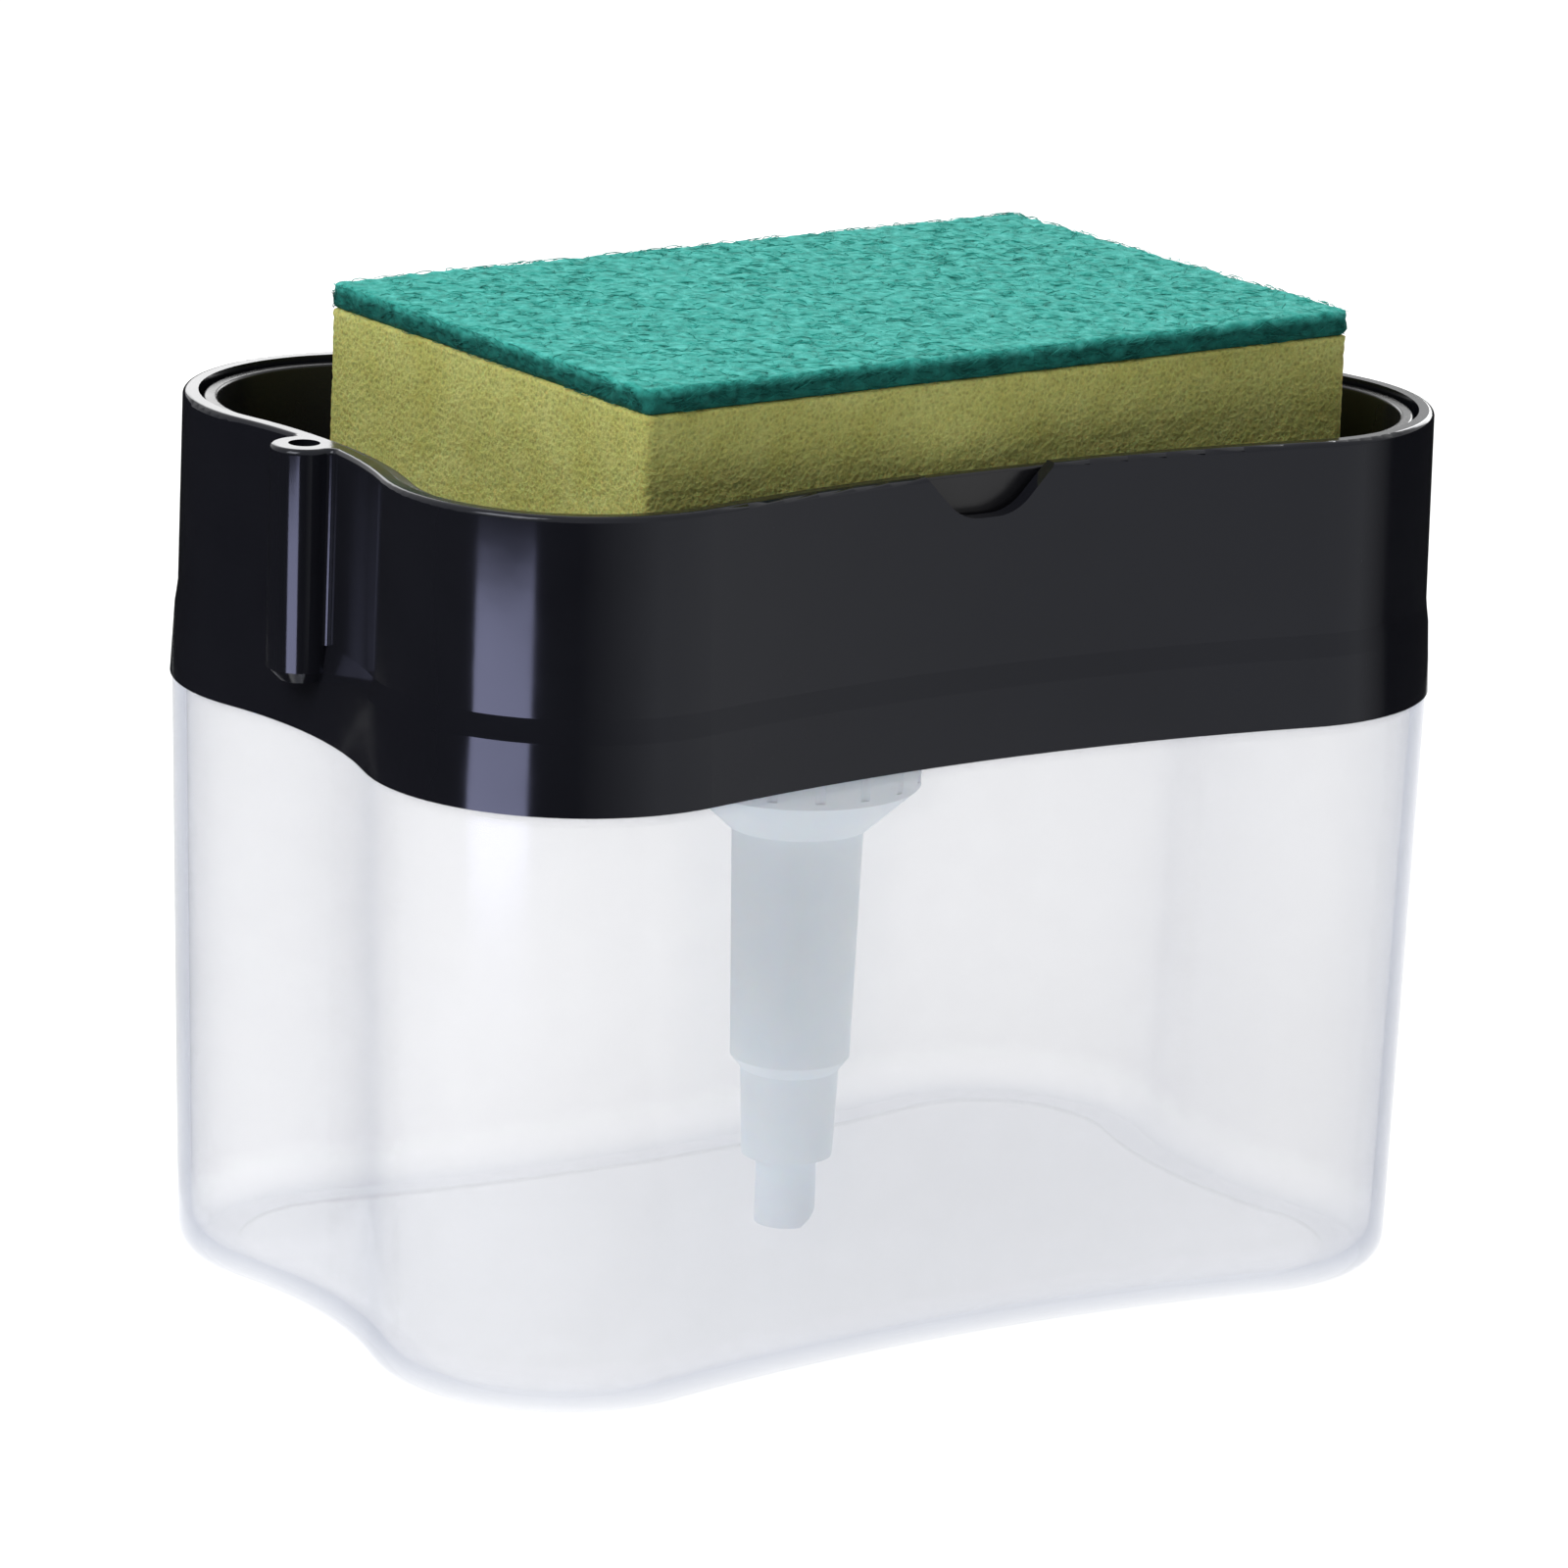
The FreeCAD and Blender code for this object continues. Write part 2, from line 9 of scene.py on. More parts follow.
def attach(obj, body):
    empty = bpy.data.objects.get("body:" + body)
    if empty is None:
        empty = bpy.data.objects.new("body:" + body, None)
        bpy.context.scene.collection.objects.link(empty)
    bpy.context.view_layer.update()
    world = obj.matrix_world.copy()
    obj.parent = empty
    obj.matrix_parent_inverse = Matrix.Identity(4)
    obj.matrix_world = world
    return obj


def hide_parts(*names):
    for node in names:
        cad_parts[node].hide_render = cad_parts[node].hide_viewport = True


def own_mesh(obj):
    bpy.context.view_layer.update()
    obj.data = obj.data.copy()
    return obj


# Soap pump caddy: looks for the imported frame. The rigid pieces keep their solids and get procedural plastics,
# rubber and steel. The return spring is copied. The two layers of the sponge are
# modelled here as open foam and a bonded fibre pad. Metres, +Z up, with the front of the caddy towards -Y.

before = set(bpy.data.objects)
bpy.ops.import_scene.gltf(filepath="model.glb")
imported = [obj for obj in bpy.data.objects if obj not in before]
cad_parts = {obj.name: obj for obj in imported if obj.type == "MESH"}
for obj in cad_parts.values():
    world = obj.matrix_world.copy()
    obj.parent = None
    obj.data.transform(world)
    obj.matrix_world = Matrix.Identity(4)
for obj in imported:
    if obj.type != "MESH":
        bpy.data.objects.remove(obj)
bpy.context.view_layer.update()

MM = 0.001
WHITE = (1.0, 1.0, 1.0)

# Camera, fitted to the outlines of the photograph
CAMERA_AZIMUTH = math.radians(-32.667)
CAMERA_ELEVATION = math.radians(15.15)
CAMERA_ROLL = math.radians(1.955)
CAMERA_DISTANCE = 0.98798
CAMERA_TARGET = Vector((-0.00246, -0.0002, 0.0632))
SENSOR = 36.0
LENS = 173.96

# Light of the room on the object: the way to its bright side, and its strength from in front and from behind
ROOM_WAY = (0.54, 0.84, 0.0)
ROOM_SPREAD = 0.6
ROOM_LIGHT = (0.15, 1.0)

# Floor: its glow as light on the object, and as it is seen
FLOOR_GLOW = (0.75, 0.87)
FLOOR_RADIUS = 4.0
FLOOR_SIDES = 64

# Black bands round the caddy: cards that stand on the floor, and a sheet that lies on it inside them
CARD_RADIUS = 0.36
CARD_FOOT = 0.001
CARD_TOP = 0.161
SHEET_RADIUS = 0.088
SHEET_LIFT = 0.0006
BAND_STEP = 5.0

# Most values of a noise texture lie between these
NOISE_LOW = 0.3
NOISE_HIGH = 0.7

# The tank's haze thins out between these heights, to this share of it at the foot
CLEAR_FOOT = 3 * MM
HAZY_WALL = 7 * MM
FOOT_HAZE = 0.3

# The scouring pad's colour goes from its lit top colour to a darker shaded copy on its cut sides, as painted
# shade, between these depths below its top
PAD_PAINTED_LIGHT_DEPTH = 0.2 * MM
PAD_PAINTED_SHADE_DEPTH = 1.5 * MM

# Sponge: its turn, its corners, the spread at each end, and how far the seam between its layers has risen
SPONGE_TURN = math.radians(2.8)
SPONGE_CORNER = 1.3 * MM
SPONGE_SPREAD = 0.9 * MM
SEAM_RISE = 0.5 * MM

# Foam: the skin's mesh, its slow waves and its pores
FOAM_STEP = 0.5 * MM
FOAM_BASE_STEP = 2.0 * MM
FOAM_EDGE = 0.7 * MM
FOAM_WAVE = 0.35 * MM
FOAM_WAVE_SIZE = 14 * MM
FOAM_WAVE_SINK = 0.4
PORE_SIZE = 1.0 * MM
PORE_DEPTH = 0.22 * MM
PORE_STEEPNESS = 1.6

# Scouring pad: the skin's mesh, its lumps with a finer grain as shares of them, and its ragged sides
PAD_STEP = 0.55 * MM
PAD_BASE_STEP = 3.0 * MM
PAD_EDGE = 0.8 * MM
PAD_FLAT_BASE = 0.1 * MM
PAD_LUMP = 0.27 * MM
PAD_LUMP_SIZE = 2.2 * MM
PAD_LUMP_SINK = 0.8
PAD_GRAIN_DEPTH = 0.5
PAD_GRAIN_SIZE = 0.4
PAD_RAG = 0.5 * MM
PAD_RAG_SIZE = 1.3 * MM

# Loose fibres on the pad. A spread is the least and the most of a size, as a share of it.
FIBRE_COUNT = 5200
FIBRE_SEED = 11
FIBRE_STEPS = 3
FIBRE_SIDES = 3
FIBRE_RADIUS = 0.055 * MM
RADIUS_SPREAD = (0.7, 1.3)
FIBRE_LENGTH = 3.4 * MM
LENGTH_SPREAD = (0.5, 1.2)
FIBRE_LIFT = 0.22 * MM
LIFT_SPREAD = (0.0, 1.6)
FIBRE_CURL = 1.2
FIBRE_SINK = 0.35 * MM

# Those of them that lie along its cut edge. Their reach out of it is in millimetres.
EDGE_FIBRE_SHARE = 0.22
EDGE_FIBRE_REACH = (-0.2, 0.45)
EDGE_FIBRE_SINK = 0.1 * MM
EDGE_FIBRE_MARGIN = 0.3 * MM
EDGE_FIBRE_LIMIT = 0.2 * MM
EDGE_FIBRE_RUN = 0.8
EDGE_FIBRE_SLOPE = 0.5

# Shortest step of a fibre, and the least lean from upright, that still give it a direction
TINY = 1e-7
UPRIGHT = 1e-4


class Tree:
    """A node tree, with short calls for the nodes that go into it."""

    def __init__(self, tree):
        self.nodes = tree.nodes
        self.links = tree.links

    def feed(self, socket, value):
        """Links an output to the socket, or sets the socket to a number."""
        if isinstance(value, bpy.types.NodeSocket):
            self.links.new(value, socket)
        else:
            socket.default_value = value

    def maths(self, operation, first, second):
        node = self.nodes.new("ShaderNodeMath")
        node.operation = operation
        self.feed(node.inputs[0], first)
        self.feed(node.inputs[1], second)
        return node.outputs["Value"]

    def span(self, value, low, high, to_low, to_high):
        """Maps low to high onto to_low to to_high, and holds what lies outside."""
        node = self.nodes.new("ShaderNodeMapRange")
        self.feed(node.inputs["Value"], value)
        self.feed(node.inputs["From Min"], low)
        self.feed(node.inputs["From Max"], high)
        self.feed(node.inputs["To Min"], to_low)
        self.feed(node.inputs["To Max"], to_high)
        return node.outputs["Result"]

    def white_where_seen(self):
        """1 for rays from the camera, off gloss or through glass, 0 for the rest."""
        path = self.nodes.new("ShaderNodeLightPath").outputs
        seen = self.maths("MAXIMUM", path["Is Camera Ray"], path["Is Glossy Ray"])
        return self.maths("MAXIMUM", seen, path["Is Transmission Ray"])


class Shader(Tree):
    """A material with a Principled shader, with short calls for its textures, colour, roughness and bumps."""

    def __init__(self, name):
        self.material = bpy.data.materials.new(name)
        self.material.use_nodes = True
        super().__init__(self.material.node_tree)
        self.surface = self.nodes["Principled BSDF"].inputs
        self.output = self.nodes["Material Output"].inputs
        self.place = self.nodes.new("ShaderNodeTexCoord").outputs["Object"]

    def set(self, **values):
        for name, value in values.items():
            self.surface[name.replace("_", " ")].default_value = value

    def noise(self, size, detail=3.0, roughness=0.55, stretch=None):
        node = self.nodes.new("ShaderNodeTexNoise")
        node.inputs["Scale"].default_value = 1.0 / size
        node.inputs["Detail"].default_value = detail
        node.inputs["Roughness"].default_value = roughness
        self.feed(node.inputs["Vector"], self.stretched(stretch))
        return node.outputs["Fac"]

    def cells(self, size):
        node = self.nodes.new("ShaderNodeTexVoronoi")
        node.inputs["Scale"].default_value = 1.0 / size
        self.feed(node.inputs["Vector"], self.place)
        return node.outputs["Distance"]

    def stretched(self, stretch):
        if stretch is None:
            return self.place
        node = self.nodes.new("ShaderNodeMapping")
        node.inputs["Scale"].default_value = stretch
        self.feed(node.inputs["Vector"], self.place)
        return node.outputs["Vector"]

    def height(self):
        node = self.nodes.new("ShaderNodeSeparateXYZ")
        self.feed(node.inputs["Vector"], self.place)
        return node.outputs["Z"]

    def ramp(self, source, stops):
        node = self.nodes.new("ShaderNodeValToRGB")
        elements = node.color_ramp.elements
        while len(elements) < len(stops):
            elements.new(0.5)
        for element, (position, colour) in zip(elements, stops):
            element.position = position
            element.color = (*colour, 1.0)
        self.feed(node.inputs["Fac"], source)
        return node.outputs["Color"]

    def two_tone(self, source, dark, light):
        """A colour that follows a noise texture from dark to light."""
        return self.ramp(source, [(NOISE_LOW, dark), (NOISE_HIGH, light)])

    def spread(self, source, low, high):
        """A number that follows a noise texture from low to high."""
        return self.span(source, NOISE_LOW, NOISE_HIGH, low, high)

    def mix(self, factor, first, second, blend="MIX"):
        node = self.nodes.new("ShaderNodeMix")
        node.data_type = "RGBA"
        node.blend_type = blend
        colours = [socket for socket in node.inputs if socket.type == "RGBA"]
        self.feed(next(socket for socket in node.inputs if socket.type == "VALUE"), factor)
        self.feed(colours[0], first)
        self.feed(colours[1], second)
        return next(socket for socket in node.outputs if socket.type == "RGBA")

    def grey(self, value):
        node = self.nodes.new("ShaderNodeCombineColor")
        for socket in node.inputs[:3]:
            self.feed(socket, value)
        return node.outputs["Color"]

    def colour(self, source):
        self.feed(self.surface["Base Color"], source)

    def roughness(self, source):
        self.feed(self.surface["Roughness"], source)

    def bump(self, source, depth, strength):
        node = self.nodes.new("ShaderNodeBump")
        node.inputs["Distance"].default_value = depth
        node.inputs["Strength"].default_value = strength
        self.feed(node.inputs["Height"], source)
        self.feed(self.surface["Normal"], node.outputs["Normal"])


def frosted_plastic():
    """Clear wall with a haze that thins out at its foot, and a body that tints the light a little."""
    shader = Shader("frosted_polypropylene")
    shader.colour(shader.two_tone(shader.noise(30 * MM, 2.0), (0.890, 0.875, 0.870), (0.915, 0.900, 0.895)))
    haze = shader.spread(shader.noise(6 * MM), 0.215, 0.235)
    share = shader.span(shader.height(), CLEAR_FOOT, HAZY_WALL, FOOT_HAZE, 1.0)
    shader.feed(shader.surface["Alpha"], shader.maths("MULTIPLY", haze, share))
    shader.set(Transmission_Weight=0.5, IOR=1.12, Coat_Weight=1.0, Coat_Roughness=0.15)
    body = shader.nodes.new("ShaderNodeVolumeAbsorption")
    body.inputs["Color"].default_value = (0.0, 0.08, 0.27, 1.0)
    body.inputs["Density"].default_value = 37.0
    shader.feed(shader.output["Volume"], body.outputs["Volume"])
    shader.roughness(shader.spread(shader.noise(9 * MM), 0.45, 0.55))
    shader.bump(shader.noise(0.6 * MM, 2.0), 0.01 * MM, 0.3)
    return shader.material


def black_plastic():
    shader = Shader("black_gloss_plastic")
    shader.colour(shader.two_tone(shader.noise(18 * MM), (0.0062, 0.0065, 0.0092), (0.0076, 0.0080, 0.0110)))
    shader.set(Specular_IOR_Level=0.235, Specular_Tint=(0.88, 0.91, 1.0, 1.0))
    shader.roughness(shader.spread(shader.noise(14 * MM), 0.09, 0.15))
    shader.bump(shader.noise(5 * MM, 2.0), 0.012 * MM, 0.6)
    return shader.material


def tray_plastic():
    shader = Shader("black_satin_plastic")
    shader.colour(shader.two_tone(shader.noise(12 * MM), (0.0070, 0.0070, 0.0088), (0.0095, 0.0095, 0.0115)))
    shader.set(Specular_IOR_Level=0.32)
    shader.roughness(shader.spread(shader.noise(8 * MM), 0.2, 0.3))
    shader.bump(shader.noise(0.9 * MM, 2.0), 0.02 * MM, 0.4)
    return shader.material


def milky_plastic(name, dark, light, rough):
    shader = Shader(name)
    shader.colour(shader.two_tone(shader.noise(6 * MM), dark, light))
    shader.set(Subsurface_Weight=0.15, Subsurface_Scale=2 * MM)
    shader.roughness(shader.spread(shader.noise(4 * MM), rough - 0.06, rough + 0.06))
    shader.bump(shader.noise(1.2 * MM, 2.0), 0.02 * MM, 0.4)
    return shader.material


def rubber():
    shader = Shader("gasket_rubber")
    shader.colour(shader.two_tone(shader.noise(1.5 * MM), (0.48, 0.49, 0.51), (0.58, 0.59, 0.60)))
    shader.roughness(shader.spread(shader.noise(1.0 * MM), 0.6, 0.8))
    shader.bump(shader.noise(0.3 * MM), 0.03 * MM, 0.5)
    return shader.material


def steel(name, rough, stretch=None):
    shader = Shader(name)
    tone = shader.noise(1.0 * MM, stretch=stretch)
    shader.colour(shader.two_tone(tone, (0.56, 0.56, 0.57), (0.68, 0.68, 0.69)))
    shader.set(Metallic=1.0)
    shader.roughness(shader.spread(shader.noise(0.4 * MM, stretch=stretch), rough * 0.7, rough * 1.3))
    shader.bump(shader.noise(0.25 * MM, stretch=stretch), 0.006 * MM, 0.5)
    return shader.material


def foam_material():
    shader = Shader("open_cell_foam")
    base = shader.two_tone(shader.noise(7 * MM, 4.0), (0.41, 0.41, 0.110), (0.48, 0.49, 0.160))
    # Painted shade: each foam cell is painted darker towards its middle, as shade in its pores; the fine noise
    # is the foam's own varied tone
    painted_pore_shade = shader.span(shader.cells(0.7 * MM), 0.12, 0.5, 0.72, 1.0)
    fine = shader.spread(shader.noise(0.35 * MM, 2.0), 0.86, 1.1)
    shader.colour(shader.mix(1.0, base, shader.grey(shader.maths("MULTIPLY", painted_pore_shade, fine)), "MULTIPLY"))
    shader.set(Roughness=0.9, Specular_IOR_Level=0.2, Subsurface_Weight=0.25, Subsurface_Scale=1.5 * MM)
    shader.bump(shader.maths("ADD", shader.cells(0.7 * MM), shader.noise(0.3 * MM)), 0.25 * MM, 0.7)
    return shader.material


def scour_material(top_z):
    shader = Shader("bonded_fibre")
    # Painted shade: below the top, the cut sides get a darker, shaded copy of the top's mottled colour, and the
    # top keeps its lit colour
    painted_light_share = shader.span(shader.height(), top_z - PAD_PAINTED_SHADE_DEPTH, top_z - PAD_PAINTED_LIGHT_DEPTH, 0.0, 1.0)
    mottle = shader.spread(shader.noise(1.6 * MM, 4.0, 0.6), 0.0, 1.0)
    face = shader.ramp(mottle, [
        (0.0, (0.016, 0.250, 0.205)),
        (0.5, (0.046, 0.430, 0.365)),
        (1.0, (0.110, 0.600, 0.530)),
    ])
    side = shader.ramp(mottle, [(0.0, (0.003, 0.075, 0.062)), (1.0, (0.010, 0.160, 0.132))])
    shader.colour(shader.mix(painted_light_share, side, face))
    shader.set(Roughness=0.75, Specular_IOR_Level=0.15)
    shader.bump(shader.noise(0.35 * MM, 4.0, 0.7), 0.3 * MM, 0.8)
    return shader.material


def dress_frame():
    """Gives every carried-over solid its material."""
    pump = milky_plastic("pump_polypropylene", (0.80, 0.90, 1.0), (0.86, 0.95, 1.0), 0.42)
    dip = milky_plastic("tube_polyethylene", (0.80, 0.89, 1.0), (0.85, 0.94, 1.0), 0.42)
    seal = milky_plastic("seal_polyethylene", (0.66, 0.68, 0.71), (0.72, 0.74, 0.76), 0.3)
    tray = tray_plastic()
    materials = {
        "reservoir_tank": frosted_plastic(),
        "collar_shell": black_plastic(),
        "sponge_tray": tray,
        "outlet_cap": tray,
        "pump_housing": pump,
        "lock_nut": pump,
        "stem_guide": pump,
        "pump_stem": pump,
        "piston_core": pump,
        "dip_tube": dip,
        "piston": seal,
        "flange_gasket": rubber(),
        "return_spring": steel("spring_wire", 0.28, (1.0, 1.0, 6.0)),
        "suction_ball": steel("ball_steel", 0.1),
    }
    for node, material in materials.items():
        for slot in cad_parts[node].material_slots:
            slot.material = material


def spring_piece():
    """The return spring as a copy of its solid, carried with the top."""
    piece = bpy.data.objects.new("spring_coil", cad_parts["return_spring"].data.copy())
    bpy.context.scene.collection.objects.link(piece)
    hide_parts("return_spring")
    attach(piece, "top")
    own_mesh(piece)


def made(mesh, name, material):
    """Turns the mesh into an object of the scene, with one material."""
    data = bpy.data.meshes.new(name)
    mesh.to_mesh(data)
    mesh.free()
    data.materials.append(material)
    piece = bpy.data.objects.new(name, data)
    bpy.context.scene.collection.objects.link(piece)
    return piece


def turned_box(node):
    """Middle, half sizes with the spread, and lowest and highest z of a layer, square to the turned sponge."""
    turn = Matrix.Rotation(-SPONGE_TURN, 3, "Z")
    points = [turn @ v.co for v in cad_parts[node].data.vertices]
    low = Vector([min(p[axis] for p in points) for axis in range(3)])
    high = Vector([max(p[axis] for p in points) for axis in range(3)])
    half = (high - low) / 2
    half.x += SPONGE_SPREAD
    return (low + high) / 2, half, low.z, high.z


def rounded_rectangle(half_x, half_y, corner, step):
    """Points and outward normals round a rectangle with round corners, about a step apart."""
    loop = []
    length_x, length_y = 2 * (half_x - corner), 2 * (half_y - corner)
    sides = [
        (Vector((half_x, -half_y + corner)), Vector((0, 1)), length_y, Vector((1, 0))),
        (Vector((half_x - corner, half_y)), Vector((-1, 0)), length_x, Vector((0, 1))),
        (Vector((-half_x, half_y - corner)), Vector((0, -1)), length_y, Vector((-1, 0))),
        (Vector((-half_x + corner, -half_y)), Vector((1, 0)), length_x, Vector((0, -1))),
    ]
    for start, along, length, normal in sides:
        count = max(2, round(length / step))
        for index in range(count):
            loop.append((start + along * (length * index / count), normal))
        centre = start + along * length - normal * corner
        turns = max(2, round(corner * math.pi / 2 / step))
        for index in range(turns):
            angle = math.pi / 2 * index / turns
            arm = normal * math.cos(angle) + along * math.sin(angle)
            loop.append((centre + arm * corner, arm))
    return loop


def skinned_block(half, low, high, edge, step, base_step):
    """A closed slab of small quads: rounded sides, and a top and a bottom drawn in ring by ring."""
    mesh = bmesh.new()
    outline = rounded_rectangle(half.x, half.y, SPONGE_CORNER, step)
    rings = []
    for inset, z in slab_profile(low, high, edge, step):
        rings.append([mesh.verts.new((p.x - n.x * inset, p.y - n.y * inset, z)) for p, n in outline])
    for lower, upper in zip(rings, rings[1:]):
        join_rings(mesh, lower, upper)
    fill_cap(mesh, rings[-1], half, high, step, up=True)
    fill_cap(mesh, rings[0], half, low, base_step, up=False)
    mesh.normal_update()
    return mesh


def slab_profile(low, high, edge, step):
    """Inset and height of each ring up the side of a slab with rounded top and bottom edges."""
    arc_steps = max(2, round(edge * math.pi / 2 / step))
    rows = max(2, round((high - low - 2 * edge) / step))
    angles = [math.pi / 2 * i / arc_steps for i in range(arc_steps)]
    foot = [(edge * (1 - math.sin(a)), low + edge * (1 - math.cos(a))) for a in angles]
    wall = [(0.0, low + edge + (high - low - 2 * edge) * i / rows) for i in range(rows + 1)]
    head = [(inset, low + high - z) for inset, z in reversed(foot)]
    return foot + wall + head


def join_rings(mesh, lower, upper):
    for i in range(len(lower)):
        j = (i + 1) % len(lower)
        mesh.faces.new((lower[i], lower[j], upper[j], upper[i]))


def fill_cap(mesh, ring, half, z, step, up):
    """Fills a flat end with rings drawn in towards a slit, so that its quads stay about a step wide."""
    count = max(2, round(half.y / step))
    slit = half.x - half.y
    start = [v.co.copy() for v in ring]
    outer = ring
    for index in range(1, count):
        inner = []
        for p in start:
            centre = Vector((clamp(p.x, slit), 0.0, z))
            inner.append(mesh.verts.new(p.lerp(centre, index / count)))
        if up:
            join_rings(mesh, outer, inner)
        else:
            join_rings(mesh, inner, outer)
        outer = inner
    close_slit(mesh, outer, up)


def close_slit(mesh, ring, up):
    """Closes the last ring, a slit along the X axis, with faces between the points that face each other."""
    across = Vector((ring[0].co.x, -ring[0].co.y, ring[0].co.z))
    total = min(range(len(ring)), key=lambda i: (ring[i].co - across).length)
    first = (total + 1) // 2
    for i in range(first, first + len(ring) // 2 - total % 2):
        corners = [ring[j % len(ring)] for j in (i, i + 1, total - i - 1, total - i)]
        corners = list(dict.fromkeys(corners))
        mesh.faces.new(corners if up else list(reversed(corners)))


def finish_piece(mesh, name, node, material, middle):
    """Turns the mesh into a smooth piece of the sponge that lies where its solid lies."""
    mesh.normal_update()
    place = Matrix.Rotation(SPONGE_TURN, 4, "Z") @ Matrix.Translation((middle.x, middle.y, 0))
    bmesh.ops.transform(mesh, matrix=place, verts=mesh.verts)
    piece = made(mesh, name, material)
    piece.data.shade_smooth()
    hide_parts(node)
    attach(piece, "sponge")
    return piece


def clamp(value, limit):
    return max(-limit, min(limit, value))


def pit(point):
    """How deep a point lies in its foam cell, from 0 on the skeleton to 1 in the middle of a pore."""
    nearest, next_nearest = noise.voronoi(point / PORE_SIZE)[0][:2]
    return max(0.0, min(1.0, (next_nearest - nearest) * PORE_STEEPNESS))


def foam_piece():
    middle, half, low, high = turned_box("foam_block")
    high += SEAM_RISE
    mesh = skinned_block(half, low, high, FOAM_EDGE, FOAM_STEP, FOAM_BASE_STEP)
    moves = []
    for v in mesh.verts:
        if low + FOAM_EDGE / 2 < v.co.z < high - FOAM_EDGE / 2:
            wave = FOAM_WAVE * (noise.noise(v.co / FOAM_WAVE_SIZE) - FOAM_WAVE_SINK)
            moves.append((v, v.normal * (min(0.0, wave) - PORE_DEPTH * pit(v.co))))
    for v, move in moves:
        v.co += move
    piece = finish_piece(mesh, "sponge_foam", "foam_block", foam_material(), middle)


def pad_piece():
    middle, half, low, high = turned_box("scouring_pad")
    low += SEAM_RISE
    mesh = skinned_block(half, low, high, PAD_EDGE, PAD_STEP, PAD_BASE_STEP)
    moves = []
    for v in mesh.verts:
        if v.co.z >= low + PAD_FLAT_BASE:
            grain = noise.noise(v.co / (PAD_LUMP_SIZE * PAD_GRAIN_SIZE))
            lump = noise.noise(v.co / PAD_LUMP_SIZE) + PAD_GRAIN_DEPTH * grain
            rag = noise.noise(v.co / PAD_RAG_SIZE) * (1 - abs(v.normal.z))
            moves.append((v, v.normal * (PAD_LUMP * (lump - PAD_LUMP_SINK) + PAD_RAG * rag)))
    for v, move in moves:
        v.co += move
    lay_fibres(mesh, half, low, high)
    piece = finish_piece(mesh, "scour_pad", "scouring_pad", scour_material(high), middle)


def lay_fibres(mesh, half, low, high):
    """Scatters short curled fibres over the top and the cut edge of the pad."""
    draw = random.Random(FIBRE_SEED)
    for _ in range(FIBRE_COUNT):
        heading = draw.uniform(0, math.tau)
        curl = draw.uniform(-FIBRE_CURL, FIBRE_CURL)
        length = FIBRE_LENGTH * draw.uniform(*LENGTH_SPREAD)
        if draw.random() < EDGE_FIBRE_SHARE:
            path = edge_fibre(draw, half, low, high, length)
        else:
            path = top_fibre(draw, half, high, heading, curl, length)
        fibre_tube(mesh, path, FIBRE_RADIUS * draw.uniform(*RADIUS_SPREAD))


def top_fibre(draw, half, high, heading, curl, length):
    """A fibre that lies on top of the pad, with its middle lifted a little."""
    point = Vector((draw.uniform(-half.x, half.x), draw.uniform(-half.y, half.y), high - FIBRE_SINK))
    lift = FIBRE_LIFT * draw.uniform(*LIFT_SPREAD)
    path = []
    for step in range(FIBRE_STEPS + 1):
        share = step / FIBRE_STEPS
        rise = lift * math.sin(math.pi * share)
        path.append(held_in(Vector((point.x, point.y, point.z + rise)), half))
        angle = heading + curl * share
        point += Vector((math.cos(angle), math.sin(angle), 0)) * (length / FIBRE_STEPS)
    return path


def edge_fibre(draw, half, low, high, length):
    """A fibre that lies along the cut edge or pokes a little out of it."""
    along_x = draw.random() < half.x / (half.x + half.y)
    side = draw.choice((-1, 1))
    reach = draw.uniform(*EDGE_FIBRE_REACH) * MM
    z = draw.uniform(low + EDGE_FIBRE_MARGIN, high - EDGE_FIBRE_MARGIN)
    slope = draw.uniform(-EDGE_FIBRE_SLOPE, EDGE_FIBRE_SLOPE)
    start = draw.uniform(-half.x, half.x) if along_x else draw.uniform(-half.y, half.y)
    middle_z = (low + high) / 2
    limit = (high - low) / 2 - EDGE_FIBRE_LIMIT
    path = []
    for step in range(FIBRE_STEPS + 1):
        share = step / FIBRE_STEPS
        run = start + length * share * EDGE_FIBRE_RUN
        out = reach * math.sin(math.pi * share) - EDGE_FIBRE_SINK
        rise = clamp(z + slope * length * share - middle_z, limit) + middle_z
        if along_x:
            path.append(Vector((clamp(run, half.x - SPONGE_CORNER), side * (half.y + out), rise)))
        else:
            path.append(Vector((side * (half.x + out), clamp(run, half.y - SPONGE_CORNER), rise)))
    return path


def held_in(point, half):
    """The point, drawn in to the rounded outline of the pad where it lies outside."""
    core = Vector((clamp(point.x, half.x - SPONGE_CORNER), clamp(point.y, half.y - SPONGE_CORNER), point.z))
    arm = point - core
    if arm.length > SPONGE_CORNER:
        arm *= SPONGE_CORNER / arm.length
    return core + arm


def fibre_tube(mesh, path, radius):
    """A closed three-sided tube along a short path. A path that stands still gets none."""
    rings = []
    for index, point in enumerate(path):
        before = path[max(0, index - 1)]
        after = path[min(len(path) - 1, index + 1)]
        along = after - before
        if along.length < TINY:
            return
        along.normalize()
        across = along.cross(Vector((0, 0, 1)))
        across = across.normalized() if across.length > UPRIGHT else Vector((1, 0, 0))
        up = across.cross(along)
        ring = []
        for side in range(FIBRE_SIDES):
            angle = math.tau * side / FIBRE_SIDES
            ring.append(mesh.verts.new(point + (across * math.cos(angle) + up * math.sin(angle)) * radius))
        rings.append(ring)
    for lower, upper in zip(rings, rings[1:]):
        join_rings(mesh, lower, upper)
    mesh.faces.new(list(reversed(rings[0])))
    mesh.faces.new(rings[-1])


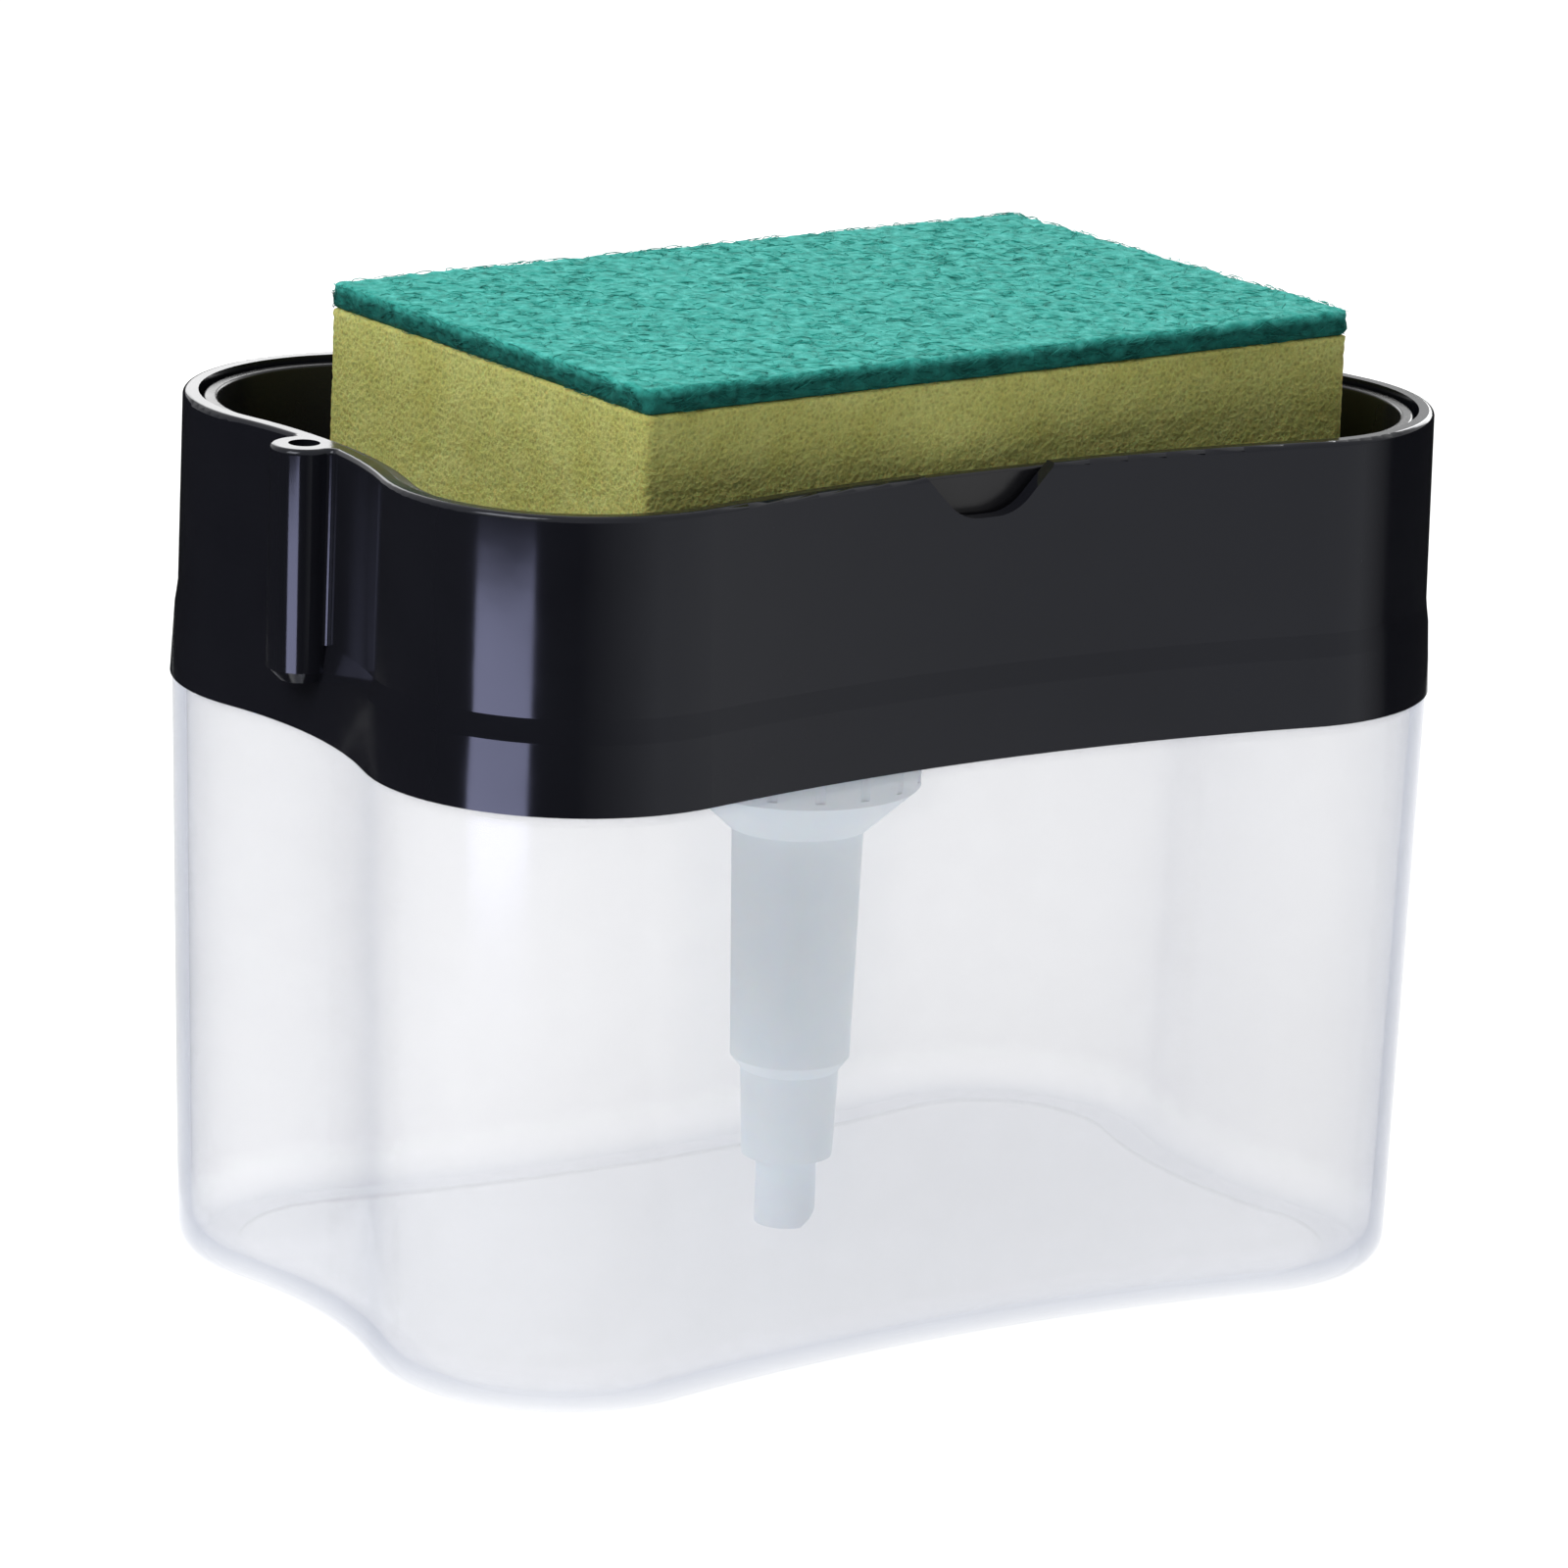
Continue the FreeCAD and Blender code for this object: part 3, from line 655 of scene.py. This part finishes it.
def camera():
    data = bpy.data.cameras.new("camera")
    data.sensor_width = SENSOR
    data.lens = LENS
    flat = math.cos(CAMERA_ELEVATION)
    forward = Vector((
        -math.sin(CAMERA_AZIMUTH) * flat,
        math.cos(CAMERA_AZIMUTH) * flat,
        -math.sin(CAMERA_ELEVATION),
    ))
    right = Vector((math.cos(CAMERA_AZIMUTH), math.sin(CAMERA_AZIMUTH), 0.0))
    up = right.cross(forward)
    rolled_right = right * math.cos(CAMERA_ROLL) + up * math.sin(CAMERA_ROLL)
    rolled_up = up * math.cos(CAMERA_ROLL) - right * math.sin(CAMERA_ROLL)
    place = CAMERA_TARGET - forward * CAMERA_DISTANCE
    columns = (rolled_right, rolled_up, -forward, place)
    rows = [[column[axis] for column in columns] for axis in range(3)]
    piece = bpy.data.objects.new("camera", data)
    piece.matrix_world = Matrix((*rows, (0.0, 0.0, 0.0, 1.0)))
    bpy.context.scene.collection.objects.link(piece)
    bpy.context.scene.camera = piece


def softbox(name, place, aim, size, power, colour=WHITE):
    data = bpy.data.lights.new(name, "AREA")
    data.shape = "RECTANGLE"
    data.size, data.size_y = size
    data.energy = power
    data.color = colour
    lamp = bpy.data.objects.new(name, data)
    lamp.location = place
    lamp.rotation_euler = (Vector(aim) - Vector(place)).to_track_quat("-Z", "Y").to_euler()
    lamp.visible_camera = False
    bpy.context.scene.collection.objects.link(lamp)
    return lamp


def room():
    """A world that looks white, and lights the object more from behind than from the front."""
    world = bpy.data.worlds.new("studio")
    world.use_nodes = True
    tree = Tree(world.node_tree)
    way = tree.nodes.new("ShaderNodeVectorMath")
    way.operation = "DOT_PRODUCT"
    way.inputs[1].default_value = ROOM_WAY
    tree.feed(way.inputs[0], tree.nodes.new("ShaderNodeTexCoord").outputs["Generated"])
    light = tree.span(way.outputs["Value"], -ROOM_SPREAD, ROOM_SPREAD, *ROOM_LIGHT)
    background = tree.nodes["Background"].inputs
    tree.feed(background["Strength"], tree.span(tree.white_where_seen(), 0.0, 1.0, light, 1.0))
    background["Color"].default_value = (*WHITE, 1.0)
    bpy.context.scene.world = world


def floor():
    """A floor that looks white, and still takes the object's shadow."""
    shader = Shader("white_floor")
    shader.set(Base_Color=(0.3, 0.3, 0.3, 1.0), Roughness=1.0, Specular_IOR_Level=0.0)
    shader.set(Emission_Color=(*WHITE, 1.0))
    glow = shader.span(shader.white_where_seen(), 0.0, 1.0, *FLOOR_GLOW)
    shader.feed(shader.surface["Emission Strength"], glow)
    mesh = bmesh.new()
    bmesh.ops.create_circle(mesh, cap_ends=True, radius=FLOOR_RADIUS, segments=FLOOR_SIDES)
    made(mesh, "floor", shader.material)


def band(name, azimuths, edges, covers=(1.0, 1.0)):
    """A black band on an arc round the caddy that only its reflections see.

    Each of its two long edges has a radius and a height. The covers say how dense it is at its two ends.
    """
    mesh = bmesh.new()
    cover = mesh.verts.layers.float.new("cover")
    steps = max(2, round((azimuths[1] - azimuths[0]) / BAND_STEP))
    columns = []
    for index in range(steps + 1):
        angle = math.radians(azimuths[0] + (azimuths[1] - azimuths[0]) * index / steps)
        column = []
        for radius, height in edges:
            corner = mesh.verts.new((radius * math.cos(angle), radius * math.sin(angle), height))
            corner[cover] = covers[0] + (covers[1] - covers[0]) * index / steps
            column.append(corner)
        columns.append(column)
    for (a, b), (c, d) in zip(columns, columns[1:]):
        mesh.faces.new((a, c, d, b))
    shader = Shader(name)
    shader.set(Base_Color=(0.01, 0.01, 0.01, 1.0), Roughness=1.0, Specular_IOR_Level=0.0)
    density = shader.nodes.new("ShaderNodeAttribute")
    density.attribute_name = "cover"
    shader.feed(shader.surface["Alpha"], density.outputs["Fac"])
    piece = made(mesh, name, shader.material)
    for ray in ("camera", "diffuse", "transmission", "volume_scatter", "shadow"):
        setattr(piece, "visible_" + ray, False)


def studio():
    floor()
    room()
    softbox("key_light", (-0.95, -0.25, 0.98), (0, 0, 0.06), (0.7, 0.7), 13.2)
    softbox("back_left", (0.28, 0.79, 0.43), (-0.065, -0.045, 0.115), (0.31, 0.4), 0.85)
    softbox("back_right", (0.79, 0.5, 0.38), (0.065, -0.045, 0.115), (0.46, 0.34), 2.3)
    strip = softbox(
        "left_strip", (-0.256, -0.108, 0.031), (-0.068, -0.04, 0.031), (0.13, 0.062), 0.30, (0.69, 0.70, 1.0)
    )
    strip.visible_diffuse = False
    strip.visible_transmission = False
    card = ((CARD_RADIUS, CARD_FOOT), (CARD_RADIUS, CARD_TOP))
    band("card_left", (60.0, 238.0), card)
    band("card_left_end", (238.0, 278.0), card, (1.0, 0.0))
    band("card_right_end", (314.0, 334.0), card, (0.0, 1.0))
    band("card_right", (334.0, 420.0), card)
    band("ground_left", (60.0, 268.0), ((SHEET_RADIUS, SHEET_LIFT), (CARD_RADIUS, SHEET_LIFT)))


dress_frame()
spring_piece()
foam_piece()
pad_piece()
camera()
studio()
bpy.context.scene.view_settings.view_transform = "Standard"
